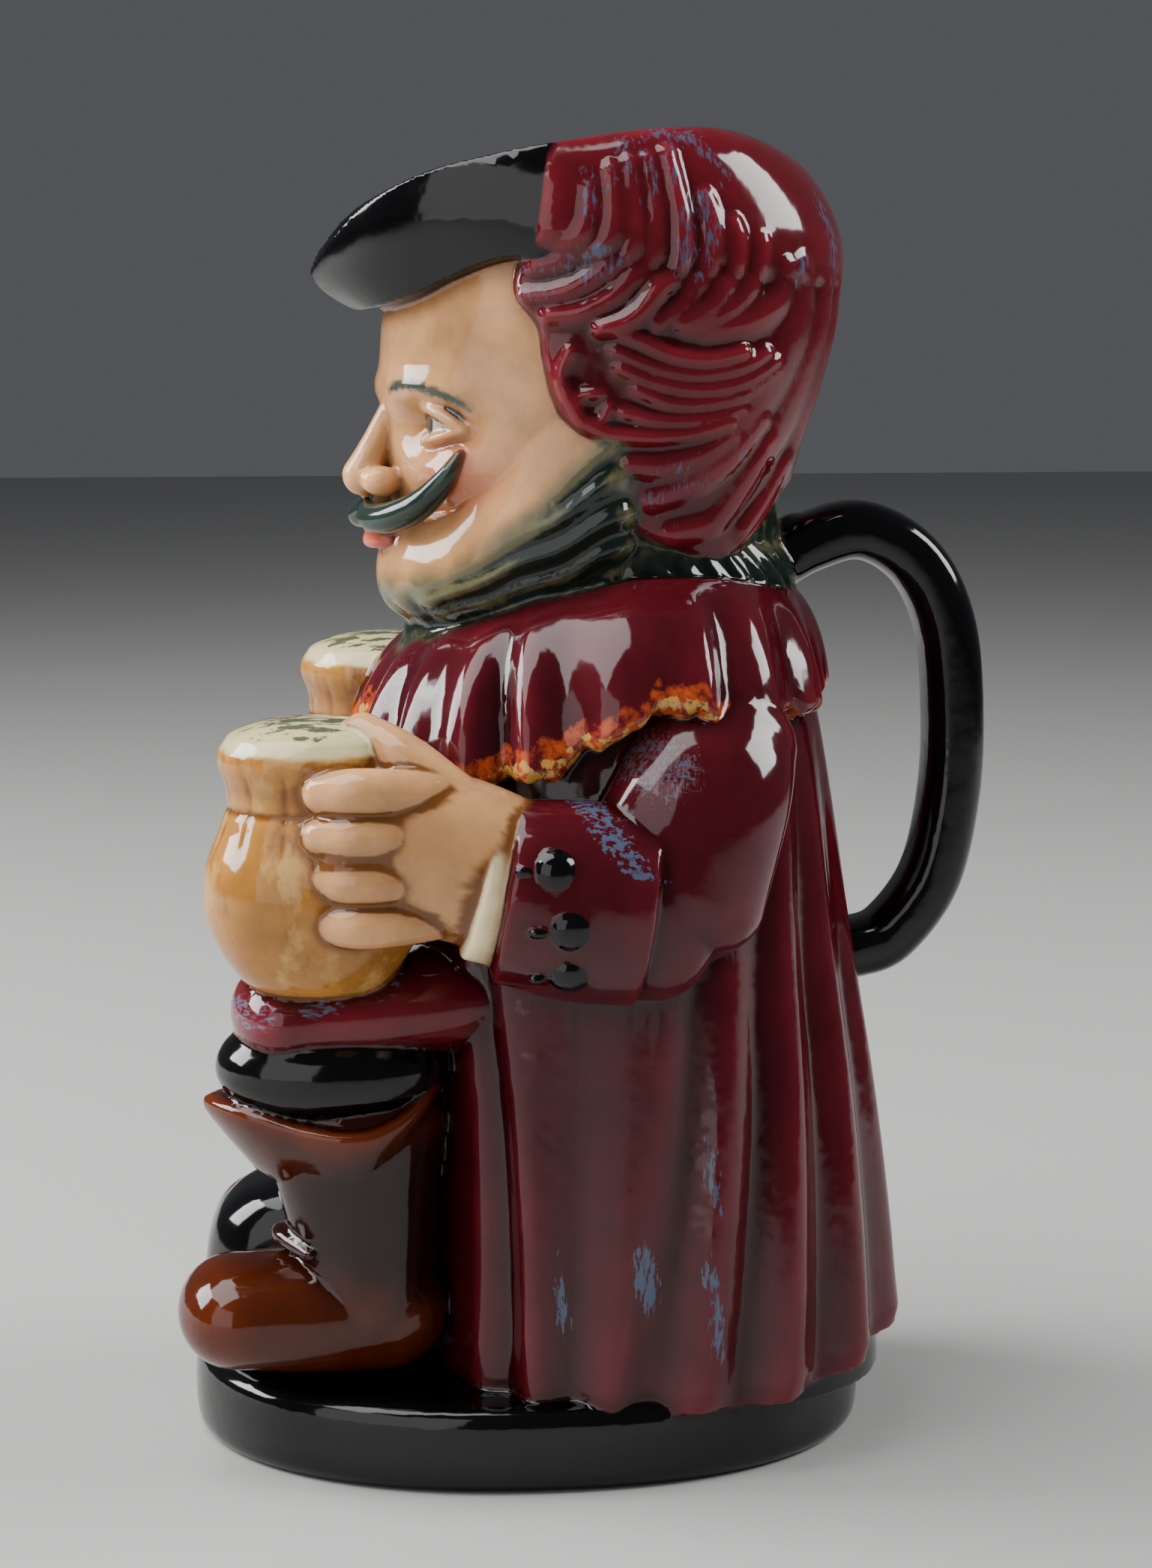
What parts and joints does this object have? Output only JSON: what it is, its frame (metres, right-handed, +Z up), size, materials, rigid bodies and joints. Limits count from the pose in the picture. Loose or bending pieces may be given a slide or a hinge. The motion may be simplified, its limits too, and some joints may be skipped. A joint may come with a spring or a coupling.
{
  "type": "toby jug",
  "caption": "Glazed earthenware jug in the shape of a seated drinker holding mugs, open through the hat, with a strap handle.",
  "frame": {"origin": "on the table, under the middle of the bounding box", "axes": "+Z up, the figure faces -Y, and his left hand is on the +X side"},
  "size_m": [0.113, 0.1354, 0.216],
  "materials": {
    "glazed_earthenware": "high gloss glaze over painted earthenware"
  },
  "bodies": {
    "root": {"toby_jug": "glazed_earthenware"}
  },
  "joints": []
}
